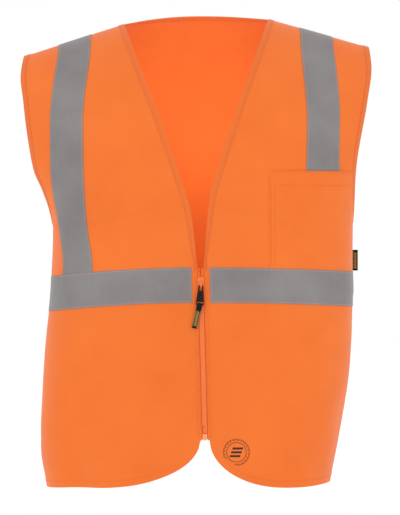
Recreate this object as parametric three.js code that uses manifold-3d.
// A zip-front safety vest, filled out as if worn. Millimetres, +Z up, front towards -Y.
// The origin is where the wearer's shoulders carry it. Right and left are the wearer's,
// so the right side is at -X. Every cloth layer is a band of one worn-torso surface, at its
// own height above that surface, so that layers follow each other with a steady gap.
import * as THREE from 'three';
import Module from 'manifold-3d';
import { mergeVertices } from 'three/addons/utils/BufferGeometryUtils.js';

const wasm = await Module();
wasm.setup();

// ---- driving dimensions ----
const GAP = 0.4; // between pieces that touch
const CLOTH = 1.2; // a panel's thickness with its turned edges
const TAPE = 0.6; // thickness of the reflective tape, and of the zip's two cloth tapes
const POCKET_CLOTH = 0.8;
const BINDING = 0.6;
const BINDING_GAP = 0.6; // looser than GAP, because a binding bends across the cloth's grain
const BINDING_WIDTH = 8.5;
const TAPE_WIDTH = 50.8;
const NECK_JOIN = 0.25; // share of the first stretch that the back strip leaves free
const HEM_FOLD = 12; // the armhole's turned edge, inside which the pocket ends

const SQUARENESS = 3.2; // of the torso's level sections
const FRONT_DEPTH = 120;
const BACK_DEPTH = 108;
const SHOULDER_ROLL = 230; // height over which the cloth turns from shoulder to chest
const FRONT_ROLL_POWER = 2;
const BACK_ROLL_POWER = 2.6;
const ARMHOLE_REACH = 0.6; // how far the armhole's edge stands forward, as a share of depth
const ARMHOLE_ROUND = 130; // height of the armhole's round lower end
const UNDERARM_Z = -300;
const ARM_POINTS_FOOT = -300; // the underarm height that each side's arm points are stated for
const RIDGE_TOP = 22.3; // where the two shoulder lines would meet
const RIDGE_ROUND = 45;
const BACK_NECK_RISE = 11.3;

const ZIP_TOP_Z = -364.6;
const ZIP_LENGTH = 245.2;
const ZIP_DRIFT = 6.5; // the worn zip leans to the wearer's left by this much at its foot
const FRONT_EDGE = 4.5; // from the zip's middle to a panel's edge
const FACING = 13; // the strip beside the zip that the waist tape stops at
const CORNER_FLAT = 7; // level stretch of hem beside the zip's foot
const CORNER_DROP = 69; // from the zip's foot to the hem
const ZIP_TAPE_WIDTH = 14;
const TEETH = { inner: 0.9, cord: 2.4, outer: 3.4, front: 1.8, back: 0.8, pitch: 3, height: 1.5 };
const BOX = { half: 3.4, height: 9, front: 2.4, back: 1.4, hole: 2.2 };
const PIN = { x: 1.8, wide: 1.2, height: 19 };
const SLIDER = { top: -10.2, length: 15.5, half: 5, plate: 1.1, post: 0.5, postHeight: 3.5 };
const BRIDGE = { half: 5, wide: 2.2, height: 4.5, wall: 1.4, inset: 0.3 };
const PULLER = {
  thick: 1.6, bar: 1.4, slot: 6.5, topHalf: 3.2, footHalf: 5.8, length: 28.5, footSlot: 3.4,
  rail: 1.2, lean: 5,
};
const TAG = { wide: 7.8, thick: 1.4, loop: 2.1, fold: 0.6, length: 35.5, lean: 10 };
const LABEL = { top: -335, height: 31, wide: 8.6, thick: 1 };
const STAY = 0.6; // the shoulder stay tapes' thickness
const WAIST_TAPE_Z = -361; // its top edge at the front
const POCKET_MOUTH_Z = -222;
const POCKET_EDGE_X = 100.3;
const SEAM_FOOT_Z = -626; // where the side seam and the back panel end
const BACK_HEM_RISE = 6;

// The worn vest leans a little, so each side has its own half widths, from the middle line
// that the zip follows: at the underarm, waist tape, hip, foot of the seam and hem.
const SIDES = {
  right: {
    sign: -1, neck: 112.8, neckZ: -3.7, tip: 259, tipZ: -51, vBend: 28, vBendZ: -235,
    arm: [[262, -30], [257, -67], [249, -125], [241, -168], [228, -197], [219, -225]],
    underarm: 216, waist: 219, hip: 232, seamFoot: 240, hem: 231, hemZ: -681.5,
    cornerRun: 144, tapeShoulder: 184.4, tapeChest: 194, tapeWaist: 177.5, tapeDip: 13,
  },
  left: {
    sign: 1, neck: 100.3, neckZ: 3.7, tip: 247, tipZ: -37.6, vBend: 26.5, vBendZ: -215,
    arm: [[249, -30], [242, -80], [232, -138], [226, -175], [223, -205], [222, -235]],
    underarm: 222, waist: 222, hip: 216, seamFoot: 193, hem: 183, hemZ: -674,
    cornerRun: 110, tapeShoulder: 170, tapeChest: 178, tapeWaist: 176, tapeDip: 6,
  },
};

const ZIP_FOOT_Z = ZIP_TOP_Z - ZIP_LENGTH;
const HEM_Z = ZIP_FOOT_Z - CORNER_DROP;

const COLOURS = { orange: 0xf3742f, silver: 0x9c9896, black: 0x17130f };

function material(colour, roughness, metalness = 0) {
  return new THREE.MeshStandardMaterial({ color: colour, roughness, metalness });
}

const clamp = (value, low, high) => Math.min(Math.max(value, low), high);
const mix = (a, b, share) => a + (b - a) * share;

// ---- a smooth height-to-width curve through a few points, with no overshoot ----
function curveThrough(points) {
  const sorted = [...points].sort((a, b) => a[0] - b[0]);
  const slopes = sorted.slice(1).map((p, i) => (p[1] - sorted[i][1]) / (p[0] - sorted[i][0]));
  const tangents = sorted.map((p, i) => {
    if (i === 0) return slopes[0];
    if (i === sorted.length - 1) return slopes[i - 1];
    const product = slopes[i - 1] * slopes[i];
    return product <= 0 ? 0 : (2 * product) / (slopes[i - 1] + slopes[i]);
  });
  return (at) => {
    const last = sorted.length - 2;
    let i = 0;
    while (i < last && at > sorted[i + 1][0]) i += 1;
    const [x0, y0] = sorted[i];
    const [x1, y1] = sorted[i + 1];
    const t = clamp((at - x0) / (x1 - x0), 0, 1);
    const run = x1 - x0;
    const h00 = 2 * t ** 3 - 3 * t ** 2 + 1;
    const h10 = t ** 3 - 2 * t ** 2 + t;
    return y0 * h00 + tangents[i] * run * h10 + y1 * (1 - h00)
      + tangents[i + 1] * run * (t ** 3 - t ** 2);
  };
}

// ---- the worn torso ----
for (const side of Object.values(SIDES)) {
  const { tip, tipZ, neck, neckZ } = side;
  const ridgeX = (x) => Math.hypot(x, RIDGE_ROUND) - RIDGE_ROUND;
  side.ridge = (x) => {
    const beyond = ridgeX(neck);
    if (x <= neck) return mix(RIDGE_TOP, neckZ, ridgeX(x) / beyond);
    return mix(neckZ, tipZ, (ridgeX(x) - beyond) / (ridgeX(tip) - beyond));
  };
  side.width = curveThrough([
    [tipZ, tip],
    ...side.arm.map(([x, dz]) => [tipZ + dz * (UNDERARM_Z - tipZ) / (ARM_POINTS_FOOT - tipZ), x]),
    [UNDERARM_Z, side.underarm], [WAIST_TAPE_Z - 20, side.waist],
    [(WAIST_TAPE_Z + SEAM_FOOT_Z) / 2, side.hip], [SEAM_FOOT_Z, side.seamFoot],
    [side.hemZ, side.hem],
  ]);
  side.tapeX = curveThrough([
    [tipZ, side.tapeShoulder], [-150, side.tapeChest], [-215, side.tapeChest - 1.5],
    [-314, mix(side.tapeChest, side.tapeWaist, 0.7)], [WAIST_TAPE_Z, side.tapeWaist],
    [side.hemZ, side.tapeWaist],
  ]);
  side.vEdge = curveThrough([
    [neckZ, neck], [side.vBendZ, side.vBend], [side.vBendZ - 50, side.vBend / 2],
    [ZIP_TOP_Z, FRONT_EDGE],
  ]);
  side.tapeTop = (x) => WAIST_TAPE_Z - side.tapeDip * (x / side.waist) ** 2;
}

const zipX = (z) => ZIP_DRIFT * clamp((ZIP_TOP_Z - z) / ZIP_LENGTH, 0, 1);

// How far forward the armhole's edge stands at height z: 0 at and below the underarm.
function reach(z) {
  const up = clamp((z - UNDERARM_Z) / ARMHOLE_ROUND, 0, 1);
  return ARMHOLE_REACH * Math.sqrt(1 - (1 - up) ** 2);
}

// Half width of the level section whose armhole edge lies at side.width(z).
function sectionWidth(side, z) {
  return side.width(z) / (1 - reach(z) ** SQUARENESS) ** (1 / SQUARENESS);
}

const angleAt = (side, x, z) => {
  const share = clamp(x / sectionWidth(side, z), 0, 1);
  return Math.asin(share ** (SQUARENESS / 2));
};

const xAt = (side, angle, z) => sectionWidth(side, z) * Math.sin(angle) ** (2 / SQUARENESS);

// A point of the torso: face is -1 in front and 1 behind.
function torsoPoint(side, face, angle, z) {
  const x = xAt(side, angle, z);
  const depth = face < 0 ? FRONT_DEPTH : BACK_DEPTH;
  const power = face < 0 ? FRONT_ROLL_POWER : BACK_ROLL_POWER;
  const fall = clamp((side.ridge(x) - z) / SHOULDER_ROLL, 0, 1);
  const roll = (1 - (1 - fall) ** power) ** (1 / power);
  const across = Math.max(Math.cos(angle), 0) ** (2 / SQUARENESS);
  const y = face * Math.max(depth * roll * across, GAP / 2);
  return new THREE.Vector3(zipX(z) + side.sign * x, y, z);
}

// ---- the lines that a panel's columns follow, each an angle at height z ----
function edgeAngle(side, z) {
  return z > UNDERARM_Z ? angleAt(side, side.width(z), z) : Math.PI / 2;
}

function arcStep(side, face, angle, z, distance) {
  const step = 0.02;
  const here = torsoPoint(side, face, angle, z);
  const there = torsoPoint(side, face, angle - step, z);
  return angle - (step * distance) / Math.max(here.distanceTo(there), 0.2);
}

function tapeHalf(side, face, z) {
  const x = side.tapeX(z);
  const angle = angleAt(side, x, z);
  const here = torsoPoint(side, face, angle, z);
  const there = torsoPoint(side, face, angleAt(side, x - 4, z), z);
  const level = 4 / Math.hypot(4, here.y - there.y);
  const onRidge = clamp((side.ridge(x) - z) / 60, 0, 1);
  return (TAPE_WIDTH / 2) * mix(0.95, level, onRidge);
}

function lines(side, face) {
  const inner = (z) => (z > ZIP_TOP_Z ? side.vEdge(z) : FRONT_EDGE);
  const facing = (z) => inner(z) + (z > ZIP_TOP_Z + 25 ? BINDING_WIDTH + 1
    : FACING - FRONT_EDGE);
  const atX = (x) => (z) => angleAt(side, x(z), z);
  const edge = (z) => edgeAngle(side, z);
  const found = {
    inner: atX(inner),
    facing: atX(facing),
    tapeIn: atX((z) => side.tapeX(z) - tapeHalf(side, face, z)),
    tapeMid: atX(side.tapeX),
    tapeOut: atX((z) => side.tapeX(z) + tapeHalf(side, face, z)),
    hem: (z) => arcStep(side, face, edge(z), z, HEM_FOLD),
    edge,
    neck: atX(() => side.neck),
    middle: () => 0,
  };
  // Above its mouth, the pocket's line keeps the share of the width that it has there.
  const corner = angleAt(side, POCKET_EDGE_X, POCKET_MOUTH_Z);
  const mouth = (corner - found.facing(POCKET_MOUTH_Z))
    / (found.tapeIn(POCKET_MOUTH_Z) - found.facing(POCKET_MOUTH_Z));
  found.pocket = (z) => (z > POCKET_MOUTH_Z
    ? mix(found.facing(z), found.tapeIn(z), mouth) : angleAt(side, POCKET_EDGE_X, z));
  return found;
}

// A column is a line, or a share of the way from one line to the next.
const column = (from, to = from, share = 0) => ({ from, to, share });
const COLUMNS = {
  right: [
    column('inner'), column('inner', 'facing', 0.5), column('facing'),
    column('facing', 'tapeIn', 0.2), column('facing', 'tapeIn', 0.45),
    column('facing', 'tapeIn', 0.72), column('tapeIn'), column('tapeMid'),
    column('tapeOut'), column('tapeOut', 'hem', 0.5), column('hem'), column('edge'),
  ],
  left: [
    column('inner'), column('inner', 'facing', 0.5), column('facing'),
    column('facing', 'pocket', 0.4), column('facing', 'pocket', 0.85), column('pocket'),
    column('pocket', 'tapeIn', 0.5), column('tapeIn'), column('tapeMid'),
    column('tapeOut'), column('tapeOut', 'hem', 0.5), column('hem'), column('edge'),
  ],
  back: [
    column('edge'), column('hem'), column('tapeOut', 'hem', 0.5), column('tapeOut'),
    column('tapeMid'), column('tapeIn'), column('neck', 'tapeIn', 0.5), column('neck'),
    column('middle', 'neck', 0.9), column('middle', 'neck', 0.75),
    column('middle', 'neck', 0.5), column('middle', 'neck', 0.25), column('middle'),
  ],
};

// ---- the heights that the rows follow ----
const ROLL_SHARES = [0, 0.012, 0.055, 0.15, 0.32, 0.55, 0.78];
const LEVELS = [
  -150, -186, POCKET_MOUTH_Z, UNDERARM_Z + 45, UNDERARM_Z + 25, UNDERARM_Z + 10,
  UNDERARM_Z + 2, UNDERARM_Z, UNDERARM_Z - 32,
];
const SKIRT_SHARES = [0.2, 0.4, 0.6, 0.8, 1];
const ROW = { mouth: 9, underarm: 14, tapeTop: 16, tapeMid: 17, tapeFoot: 18, foot: 23 };

function neckline(side, x) {
  return side.ridge(side.neck)
    + (BACK_NECK_RISE - side.neckZ) * (1 - (x / side.neck) ** 2);
}

function hemHeight(side, face, x) {
  if (face > 0) return SEAM_FOOT_Z + BACK_HEM_RISE * (1 - (x / side.seamFoot) ** 2);
  const out = x - CORNER_FLAT;
  if (out <= 0) return ZIP_FOOT_Z;
  if (out >= side.cornerRun) {
    const along = (out - side.cornerRun) / (side.hem - CORNER_FLAT - side.cornerRun);
    return mix(HEM_Z, side.hemZ, clamp(along, 0, 1) ** 2);
  }
  return ZIP_FOOT_Z - CORNER_DROP * Math.sqrt(1 - (1 - out / side.cornerRun) ** 2);
}

function rowHeight(side, face, row, x) {
  const isNeck = face > 0 && x < side.neck;
  const top = isNeck ? neckline(side, x) : side.ridge(x);
  if (row < ROLL_SHARES.length) {
    const room = isNeck && row > 0 && row < 4 ? 0.035 * (1 - (x / side.neck) ** 2) : 0;
    return mix(top, LEVELS[0], ROLL_SHARES[row] + room);
  }
  if (row < ROW.tapeTop) return LEVELS[row - ROLL_SHARES.length];
  const tapeTop = side.tapeTop(x);
  if (row <= ROW.tapeFoot) return tapeTop - (TAPE_WIDTH * (row - ROW.tapeTop)) / 2;
  const share = SKIRT_SHARES[row - ROW.tapeFoot - 1];
  return mix(tapeTop - TAPE_WIDTH, hemHeight(side, face, x), share);
}

// One side's part of a panel, as points on the torso. Each point's height and column depend
// on each other, so they are settled in a few rounds.
function sideGrid(side, face, columns) {
  const line = lines(side, face);
  const rows = [];
  for (let row = 0; row <= ROW.foot; row += 1) {
    rows.push(columns.map((place) => {
      let z = LEVELS[0];
      let angle = 0;
      for (let round = 0; round < 30; round += 1) {
        const heldZ = face < 0 && place.from === 'inner' && place.share === 0
          ? Math.max(z, ZIP_FOOT_Z) : z;
        angle = mix(line[place.from](heldZ), line[place.to](heldZ), place.share);
        z = mix(z, rowHeight(side, face, row, xAt(side, angle, z)), 0.6);
      }
      return torsoPoint(side, face, angle, z);
    }));
  }
  return rows;
}

// ---- panels and layers ----
function withNormals(points, face) {
  const normals = points.map((line, r) => line.map((point, c) => {
    const along = line[Math.min(c + 1, line.length - 1)].clone()
      .sub(line[Math.max(c - 1, 0)]);
    const down = points[Math.min(r + 1, points.length - 1)][c].clone()
      .sub(points[Math.max(r - 1, 0)][c]);
    const normal = along.cross(down).normalize();
    if (normal.y * face < 0 && Math.abs(normal.y) > 0.05) normal.negate();
    if (Math.abs(normal.y) <= 0.05 && normal.x * point.x < 0) normal.negate();
    if (Math.abs(point.y) < GAP) normal.setY(0).normalize();
    return normal;
  }));
  return { points, normals };
}

const GRIDS = {
  right: withNormals(sideGrid(SIDES.right, -1, COLUMNS.right), -1),
  left: withNormals(sideGrid(SIDES.left, -1, COLUMNS.left), -1),
};
{
  const wearersRight = sideGrid(SIDES.right, 1, COLUMNS.back);
  const wearersLeft = sideGrid(SIDES.left, 1, COLUMNS.back);
  const whole = wearersRight.map((line, r) => [
    ...line, ...wearersLeft[r].slice(0, -1).reverse(),
  ]);
  GRIDS.back = withNormals(whole, 1);
}
const BACK_LAST = 2 * COLUMNS.back.length - 2;

function closedGeometry(vertices, faces) {
  const geometry = new THREE.BufferGeometry();
  const flat = vertices.flatMap((v) => [v.x, v.y, v.z]);
  geometry.setAttribute('position', new THREE.Float32BufferAttribute(flat, 3));
  const volume = faces.reduce((sum, [a, b, c]) => sum
    + vertices[a].dot(vertices[b].clone().cross(vertices[c])), 0);
  geometry.setIndex(faces.flatMap(([a, b, c]) => (volume < 0 ? [a, c, b] : [a, b, c])));
  geometry.computeVertexNormals();
  return geometry;
}

// A closed band over rows r0..r1 and columns c0..c1, between two heights above the torso.
// A height is a number, or a function of the column. trim pulls an end in from its line.
function band(grid, [r0, r1], [c0, c1], low, high, trim = {}) {
  const height = (value, c) => (typeof value === 'function' ? value(c) : value);
  const ends = { top: 0, foot: 0, start: 0, end: 0, ...trim };
  const wide = c1 - c0 + 1;
  const tall = r1 - r0 + 1;
  const vertices = [];
  for (const level of [low, high]) {
    for (let r = r0; r <= r1; r += 1) {
      for (let c = c0; c <= c1; c += 1) {
        const point = grid.points[r][c].clone();
        const pull = (r2, c2, by) => {
          const other = grid.points[r2][c2];
          point.addScaledVector(other.clone().sub(point).normalize(), by);
        };
        if (r === r0 && ends.top) pull(r + 1, c, ends.top);
        if (r === r1 && ends.foot) pull(r - 1, c, ends.foot);
        if (c === c0 && ends.start) pull(r, c + 1, ends.start);
        if (c === c1 && ends.end) pull(r, c - 1, ends.end);
        vertices.push(point.addScaledVector(grid.normals[r][c], height(level, c)));
      }
    }
  }
  const at = (level, r, c) => level * wide * tall + r * wide + c;
  const faces = [];
  const quad = (a, b, c, d) => faces.push([a, b, c], [a, c, d]);
  for (let r = 0; r < tall - 1; r += 1) {
    for (let c = 0; c < wide - 1; c += 1) {
      quad(at(1, r, c), at(1, r, c + 1), at(1, r + 1, c + 1), at(1, r + 1, c));
      faces.push([at(0, r, c), at(0, r + 1, c + 1), at(0, r, c + 1)]);
      faces.push([at(0, r, c), at(0, r + 1, c), at(0, r + 1, c + 1)]);
    }
  }
  for (let c = 0; c < wide - 1; c += 1) {
    quad(at(0, 0, c), at(0, 0, c + 1), at(1, 0, c + 1), at(1, 0, c));
    quad(at(1, tall - 1, c), at(1, tall - 1, c + 1), at(0, tall - 1, c + 1),
      at(0, tall - 1, c));
  }
  for (let r = 0; r < tall - 1; r += 1) {
    quad(at(1, r, 0), at(1, r + 1, 0), at(0, r + 1, 0), at(0, r, 0));
    quad(at(0, r, wide - 1), at(0, r + 1, wide - 1), at(1, r + 1, wide - 1),
      at(1, r, wide - 1));
  }
  return closedGeometry(vertices, faces);
}

// A strip folded round an edge: stations hold the edge point, the next point into the panel,
// and both normals. The section is a U whose arms lie on both faces of the cloth. Between two
// stations the arms crease the way the panel's own facets do, so that they lie flat on it:
// creaseInward says that the crease runs from this edge point to the next point inside.
function foldedStrip(stations, width) {
  const outside = CLOTH + BINDING_GAP;
  const beyond = BINDING_GAP + BINDING;
  const vertices = stations.flatMap(({ edge, inside, normal, insideNormal }) => {
    const inward = inside.clone().sub(edge);
    const share = Math.min(width / inward.length(), 0.9);
    const hem = edge.clone().lerp(inside, share);
    const hemNormal = normal.clone().lerp(insideNormal, share).normalize();
    inward.normalize();
    const lift = (base, direction, by, out = 0) => base.clone()
      .addScaledVector(direction, by).addScaledVector(inward, -out);
    return [
      lift(hem, hemNormal, outside + BINDING), lift(edge, normal, outside + BINDING, beyond),
      lift(edge, normal, -beyond, beyond), lift(hem, hemNormal, -beyond),
      lift(hem, hemNormal, -BINDING_GAP), lift(edge, normal, -BINDING_GAP, BINDING_GAP),
      lift(edge, normal, outside, BINDING_GAP), lift(hem, hemNormal, outside),
    ];
  });
  const faces = [];
  for (let s = 0; s < stations.length - 1; s += 1) {
    for (let i = 0; i < 8; i += 1) {
      const j = (i + 1) % 8;
      const [a, b, c, d] = [s * 8 + i, s * 8 + j, s * 8 + 8 + j, s * 8 + 8 + i];
      const goesInward = i % 4 === 2;
      const turned = i % 2 === 0 && goesInward !== stations[s].creaseInward;
      faces.push(...(turned ? [[a, b, d], [b, c, d]] : [[a, b, c], [a, c, d]]));
    }
  }
  const cap = [[0, 1, 6], [0, 6, 7], [1, 2, 5], [1, 5, 6], [2, 3, 4], [2, 4, 5]];
  const last = (stations.length - 1) * 8;
  for (const [a, b, c] of cap) faces.push([a, c, b], [last + a, last + b, last + c]);
  return closedGeometry(vertices, faces);
}

const station = (grid, r, c, r2, c2, creaseInward = true) => ({
  creaseInward,
  edge: grid.points[r][c].clone(),
  inside: grid.points[r2][c2].clone(),
  normal: grid.normals[r][c].clone(),
  insideNormal: grid.normals[r2][c2].clone(),
});

function neckStrip(grid) {
  const stations = [];
  for (let r = 0; r <= ROW.tapeTop; r += 1) stations.push(station(grid, r, 0, r, 2));
  return foldedStrip(stations, BINDING_WIDTH);
}

// The back strip stops short of the neck points, where the side strips start.
function backNeckStrip() {
  const first = COLUMNS.back.findIndex(({ from, share }) => from === 'neck' && share === 0);
  const stations = [];
  for (let c = first; c <= BACK_LAST - first; c += 1) {
    stations.push(station(GRIDS.back, 0, c, 1, c));
  }
  for (const [end, next] of [[0, 1], [stations.length - 1, stations.length - 2]]) {
    for (const part of ['edge', 'inside', 'normal', 'insideNormal']) {
      stations[end][part].lerp(stations[next][part], NECK_JOIN);
    }
  }
  return foldedStrip(stations, BINDING_WIDTH);
}

function armholeStrip(name) {
  const front = GRIDS[name];
  const last = COLUMNS[name].length - 1;
  const [edge, inside] = name === 'right' ? [0, 1] : [BACK_LAST, BACK_LAST - 1];
  const stations = [];
  for (let r = ROW.underarm - 1; r >= 0; r -= 1) {
    stations.push(station(front, r, last, r, last - 1));
  }
  stations[stations.length - 1].edge.setY(0);
  for (let r = 1; r < ROW.underarm; r += 1) {
    stations.push(station(GRIDS.back, r, edge, r, inside, name === 'right'));
  }
  return foldedStrip(stations, BINDING_WIDTH);
}

const vest = new THREE.Group();
function piece(name, geometry, finish, parent = vest) {
  const mesh = new THREE.Mesh(geometry, finish);
  mesh.name = name;
  parent.add(mesh);
  return mesh;
}

const cloth = material(COLOURS.orange, 0.85);
const trim = material(COLOURS.orange, 0.8);
const silver = material(COLOURS.silver, 0.45, 0.1);

// ---- panels, bindings, tapes and pocket ----
const onCloth = CLOTH + GAP;
const overTape = onCloth + TAPE + GAP;
const overPocket = onCloth + POCKET_CLOTH + GAP;
const columnOf = (name, line) => COLUMNS[name]
  .findIndex(({ from, share }) => from === line && share === 0);
const mirrored = ([first, last]) => [BACK_LAST - last, BACK_LAST - first];
const tapeColumns = {
  right: [columnOf('right', 'tapeIn'), columnOf('right', 'tapeOut')],
  left: [columnOf('left', 'tapeIn'), columnOf('left', 'tapeOut')],
  backRight: [columnOf('back', 'tapeOut'), columnOf('back', 'tapeIn')],
};
tapeColumns.backLeft = mirrored(tapeColumns.backRight);
const pocketColumns = [columnOf('left', 'pocket'), columnOf('left', 'hem')];
const stayColumns = [columnOf('back', 'hem'), columnOf('back', 'neck') - 1];

piece('back_panel', band(GRIDS.back, [0, ROW.foot], [0, BACK_LAST], 0, CLOTH), cloth.clone());
for (const name of ['right', 'left']) {
  const last = COLUMNS[name].length - 1;
  piece(`front_panel_${name}`, band(GRIDS[name], [0, ROW.foot], [0, last], 0, CLOTH),
    cloth.clone());
  piece(`neck_binding_${name}`, neckStrip(GRIDS[name]), trim.clone());
  piece(`armhole_binding_${name}`, armholeStrip(name), trim.clone());
}
piece('neck_binding_back', backNeckStrip(), trim.clone());

// The waist tape rises over what lies under it, and the shoulder tapes end beneath it.
const within = (c, [first, last]) => c >= first && c <= last;
const thicker = (low) => (c) => low(c) + TAPE;
const rightRise = (c) => (within(c, tapeColumns.right) ? overTape : onCloth);
const leftRise = (c) => (c >= pocketColumns[0] ? overPocket : onCloth);
const backRise = (c) => {
  const under = within(c, tapeColumns.backRight) || within(c, tapeColumns.backLeft);
  return under ? overTape : onCloth;
};
const facingColumn = { right: columnOf('right', 'facing'), left: columnOf('left', 'facing') };
piece('waist_tape_right', band(GRIDS.right, [ROW.tapeTop, ROW.tapeFoot],
  [facingColumn.right, columnOf('right', 'edge')], rightRise, thicker(rightRise)), silver.clone());
piece('waist_tape_left', band(GRIDS.left, [ROW.tapeTop, ROW.tapeFoot],
  [facingColumn.left, columnOf('left', 'edge')], leftRise, thicker(leftRise)), silver.clone());
piece('waist_tape_back', band(GRIDS.back, [ROW.tapeTop, ROW.tapeFoot], [0, BACK_LAST],
  backRise, thicker(backRise)), silver.clone());
piece('shoulder_tape_right_front', band(GRIDS.right, [0, ROW.tapeMid], tapeColumns.right,
  onCloth, onCloth + TAPE), silver.clone());
piece('shoulder_tape_left_front', band(GRIDS.left, [0, ROW.mouth], tapeColumns.left,
  onCloth, onCloth + TAPE, { foot: GAP }), silver.clone());
piece('shoulder_tape_right_back', band(GRIDS.back, [0, ROW.tapeMid], tapeColumns.backRight,
  onCloth, onCloth + TAPE), silver.clone());
piece('shoulder_tape_left_back', band(GRIDS.back, [0, ROW.tapeMid], tapeColumns.backLeft,
  onCloth, onCloth + TAPE), silver.clone());
piece('chest_pocket', band(GRIDS.left, [ROW.mouth, ROW.tapeMid], pocketColumns,
  onCloth, onCloth + POCKET_CLOTH), cloth.clone());
piece('shoulder_stay_right', band(GRIDS.back, [0, 1], stayColumns, -GAP - STAY, -GAP),
  trim.clone());
piece('shoulder_stay_left', band(GRIDS.back, [0, 1], mirrored(stayColumns),
  -GAP - STAY, -GAP), trim.clone());

// ---- the zip, in a group whose -Z runs down the chain from its top ----
const zip = new THREE.Group();
zip.position.set(0, -FRONT_DEPTH, ZIP_TOP_Z);
zip.rotation.y = -Math.atan(ZIP_DRIFT / ZIP_LENGTH);
vest.add(zip);

// A flat outline of X and Z, as thick as it reaches from y0 to y1.
function plate(shape, y0, y1) {
  const geometry = new THREE.ExtrudeGeometry(shape, { depth: y1 - y0, bevelEnabled: false,
    curveSegments: 8 });
  return geometry.rotateX(Math.PI / 2).translate(0, y1, 0);
}

// An outline of Y and Z, as wide as it reaches from -half to half along X.
function wide(shape, half) {
  const geometry = new THREE.ExtrudeGeometry(shape, { depth: 2 * half, bevelEnabled: false,
    curveSegments: 8 });
  const turn = new THREE.Matrix4().makeBasis(new THREE.Vector3(0, 1, 0),
    new THREE.Vector3(0, 0, 1), new THREE.Vector3(1, 0, 0));
  return geometry.applyMatrix4(turn).translate(-half, 0, 0);
}

function block(x0, x1, y0, y1, z0, z1) {
  return new THREE.BoxGeometry(x1 - x0, y1 - y0, z1 - z0)
    .translate((x0 + x1) / 2, (y0 + y1) / 2, (z0 + z1) / 2);
}

function outline(points) {
  const shape = new THREE.Shape();
  points.forEach(([x, z], i) => (i ? shape.lineTo(x, z) : shape.moveTo(x, z)));
  return shape;
}

function joined(...geometries) {
  const solids = geometries.map((geometry) => {
    const bare = geometry.clone();
    bare.deleteAttribute('normal');
    bare.deleteAttribute('uv');
    const merged = mergeVertices(bare);
    return new wasm.Manifold(new wasm.Mesh({
      numProp: 3,
      vertProperties: new Float32Array(merged.attributes.position.array),
      triVerts: new Uint32Array(merged.index.array),
    }));
  });
  const mesh = solids.reduce((whole, solid) => whole.add(solid)).getMesh();
  const geometry = new THREE.BufferGeometry();
  geometry.setAttribute('position', new THREE.BufferAttribute(mesh.vertProperties, 3));
  geometry.setIndex(new THREE.BufferAttribute(mesh.triVerts, 1));
  geometry.computeVertexNormals();
  return geometry;
}

const moulded = material(COLOURS.orange, 0.4);
const blackPlastic = material(COLOURS.black, 0.35);
const woven = material(COLOURS.black, 0.8);
const boxTop = -ZIP_LENGTH + BOX.height;

// One side's row of teeth on its cord, as a comb. The other side's teeth sit half a pitch off.
function comb(sign, foot) {
  const points = [[TEETH.outer, -1], [TEETH.cord, -1]];
  const start = sign > 0 ? -2 : -2 - TEETH.pitch / 2;
  for (let z = start; z - TEETH.height > foot + 0.5; z -= TEETH.pitch) {
    points.push([TEETH.cord, z], [TEETH.inner, z], [TEETH.inner, z - TEETH.height],
      [TEETH.cord, z - TEETH.height]);
  }
  points.push([TEETH.cord, foot], [TEETH.outer, foot]);
  return outline(points.map(([x, z]) => [sign * x, z]));
}

for (const [name, sign] of [['right', -1], ['left', 1]]) {
  const ordered = (a, b) => [Math.min(sign * a, sign * b), Math.max(sign * a, sign * b)];
  const [tape0, tape1] = ordered(TEETH.outer + GAP, TEETH.outer + GAP + ZIP_TAPE_WIDTH);
  piece(`zip_tape_${name}`, block(tape0, tape1, GAP, GAP + TAPE, -ZIP_LENGTH + 1, -1),
    trim.clone(), zip);
  const foot = (name === 'right' ? -ZIP_LENGTH + PIN.height : boxTop) + GAP;
  piece(`zip_teeth_${name}`, plate(comb(sign, foot), -TEETH.front, TEETH.back),
    moulded.clone(), zip);
  const [stop0, stop1] = ordered(TEETH.inner + 0.3, TEETH.outer);
  piece(`zip_top_stop_${name}`, block(stop0, stop1, -TEETH.front, TEETH.back, -1 + GAP, 2),
    moulded.clone(), zip);
}

const boxShape = outline([[-BOX.half, -BOX.front], [BOX.half, -BOX.front],
  [BOX.half, BOX.back], [-BOX.half, BOX.back]]);
const pinY = (TEETH.back - TEETH.front) / 2;
const hole = new THREE.Path();
hole.moveTo(-PIN.x - BOX.hole / 2, pinY - BOX.hole / 2);
hole.lineTo(-PIN.x - BOX.hole / 2, pinY + BOX.hole / 2);
hole.lineTo(-PIN.x + BOX.hole / 2, pinY + BOX.hole / 2);
hole.lineTo(-PIN.x + BOX.hole / 2, pinY - BOX.hole / 2);
boxShape.holes.push(hole);
piece('zip_box', new THREE.ExtrudeGeometry(boxShape, { depth: BOX.height,
  bevelEnabled: false }).translate(0, 0, -ZIP_LENGTH), moulded.clone(), zip);
piece('zip_pin', block(-PIN.x - PIN.wide / 2, -PIN.x + PIN.wide / 2, pinY - PIN.wide / 2,
  pinY + PIN.wide / 2, -ZIP_LENGTH + 0.5, -ZIP_LENGTH + PIN.height), moulded.clone(), zip);

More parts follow.
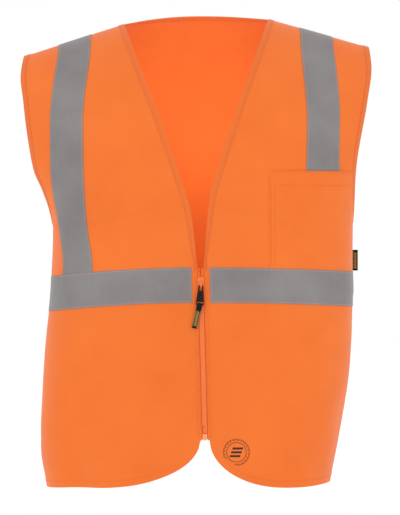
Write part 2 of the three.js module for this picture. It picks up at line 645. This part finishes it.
// ---- the slider and what hangs on it ----
const plateFront = -TEETH.front - GAP;
const plateBack = TEETH.back + TAPE;
const sliderFoot = SLIDER.top - SLIDER.length;
const shield = outline([
  [-SLIDER.half * 0.55, SLIDER.top], [SLIDER.half * 0.55, SLIDER.top],
  [SLIDER.half * 0.92, SLIDER.top - 1.2], [SLIDER.half, SLIDER.top - 3.2],
  [SLIDER.half * 0.9, SLIDER.top - 7], [SLIDER.half * 0.74, sliderFoot + 1],
  [SLIDER.half * 0.6, sliderFoot], [-SLIDER.half * 0.6, sliderFoot],
  [-SLIDER.half * 0.74, sliderFoot + 1], [-SLIDER.half * 0.9, SLIDER.top - 7],
  [-SLIDER.half, SLIDER.top - 3.2], [-SLIDER.half * 0.92, SLIDER.top - 1.2],
]);
piece('zip_slider', joined(
  plate(shield, plateFront - SLIDER.plate, plateFront),
  plate(shield, plateBack, plateBack + SLIDER.plate),
  block(-SLIDER.post, SLIDER.post, plateFront - SLIDER.plate / 2, plateBack + SLIDER.plate / 2,
    SLIDER.top - SLIDER.postHeight, SLIDER.top - 0.5),
), moulded.clone(), zip);

const bridgeY = plateFront - SLIDER.plate - GAP;
const bridgeZ = sliderFoot + BRIDGE.inset + BRIDGE.half;
const arch = outline([
  [bridgeY, BRIDGE.half], [bridgeY - BRIDGE.height * 0.7, BRIDGE.half - 0.4],
  [bridgeY - BRIDGE.height, BRIDGE.half - 1.8], [bridgeY - BRIDGE.height, -BRIDGE.half + 1.8],
  [bridgeY - BRIDGE.height * 0.7, -BRIDGE.half + 0.4], [bridgeY, -BRIDGE.half],
  [bridgeY, -BRIDGE.half + BRIDGE.wall],
  [bridgeY - BRIDGE.height + BRIDGE.wall, -BRIDGE.half + BRIDGE.wall],
  [bridgeY - BRIDGE.height + BRIDGE.wall, BRIDGE.half - BRIDGE.wall],
  [bridgeY, BRIDGE.half - BRIDGE.wall],
]);
piece('slider_bridge', wide(arch, BRIDGE.wide / 2).translate(0, 0, bridgeZ),
  moulded.clone(), zip);

// The puller hangs on the bridge's lower end and leans a little to the wearer's right.
const pull = new THREE.Group();
const pullY = bridgeY - (BRIDGE.height - BRIDGE.wall) / 2 + GAP / 2;
const pullZ = bridgeZ - BRIDGE.half + BRIDGE.wall + GAP + PULLER.bar / 2;
pull.position.set(0, pullY, pullZ);
pull.rotation.y = THREE.MathUtils.degToRad(PULLER.lean);
zip.add(pull);

function slot(halfTop, halfFoot, top, foot) {
  const path = new THREE.Path();
  path.moveTo(-halfTop, top);
  path.lineTo(-halfFoot, foot);
  path.lineTo(halfFoot, foot);
  path.lineTo(halfTop, top);
  return path;
}
const bladeFoot = PULLER.bar / 2 - PULLER.length;
const blade = outline([
  [-PULLER.topHalf + 0.8, PULLER.bar / 2], [PULLER.topHalf - 0.8, PULLER.bar / 2],
  [PULLER.topHalf, PULLER.bar / 2 - 0.8], [PULLER.footHalf, bladeFoot + 4.5],
  [PULLER.footHalf, bladeFoot + 0.8], [PULLER.footHalf - 0.8, bladeFoot],
  [-PULLER.footHalf + 0.8, bladeFoot], [-PULLER.footHalf, bladeFoot + 0.8],
  [-PULLER.footHalf, bladeFoot + 4.5], [-PULLER.topHalf, PULLER.bar / 2 - 0.8],
]);
const slotHalf = BRIDGE.wide / 2 + GAP;
blade.holes.push(slot(slotHalf, slotHalf, -PULLER.bar / 2, -PULLER.bar / 2 - PULLER.slot));
const footSlot = bladeFoot + PULLER.bar;
const footHalf = PULLER.footHalf - PULLER.rail;
blade.holes.push(slot(footHalf, footHalf, footSlot + PULLER.footSlot, footSlot));
piece('zip_puller', plate(blade, -PULLER.thick / 2, PULLER.thick / 2), blackPlastic.clone(),
  pull);

// The woven tag is looped round the puller's lower bar and sewn flat below it. The loop is
// loose enough for the tag to lean sideways on the bar.
const tag = new THREE.Shape();
const outerLoop = TAG.loop + TAG.fold;
tag.absarc(0, 0, outerLoop, -0.15 * Math.PI, 1.15 * Math.PI, false);
tag.lineTo(-TAG.thick / 2, -3 * outerLoop);
tag.lineTo(-TAG.thick / 2, -TAG.length);
tag.lineTo(TAG.thick / 2, -TAG.length);
tag.lineTo(TAG.thick / 2, -3 * outerLoop);
const eye = new THREE.Path();
eye.absarc(0, 0, TAG.loop, 0, 2 * Math.PI, true);
tag.holes.push(eye);
const tagLean = THREE.MathUtils.degToRad(TAG.lean);
piece('pull_tag', wide(tag, TAG.wide / 2).rotateY(tagLean)
  .translate(0, 0, bladeFoot + PULLER.bar / 2), woven.clone(), pull);

// ---- the label in the left side seam ----
const seamX = SIDES.left.width(LABEL.top - LABEL.height / 2) + CLOTH + GAP + 0.2;
piece('side_label', block(seamX, seamX + LABEL.wide, -LABEL.thick / 2, LABEL.thick / 2,
  LABEL.top - LABEL.height, LABEL.top), woven.clone());

export default vest;
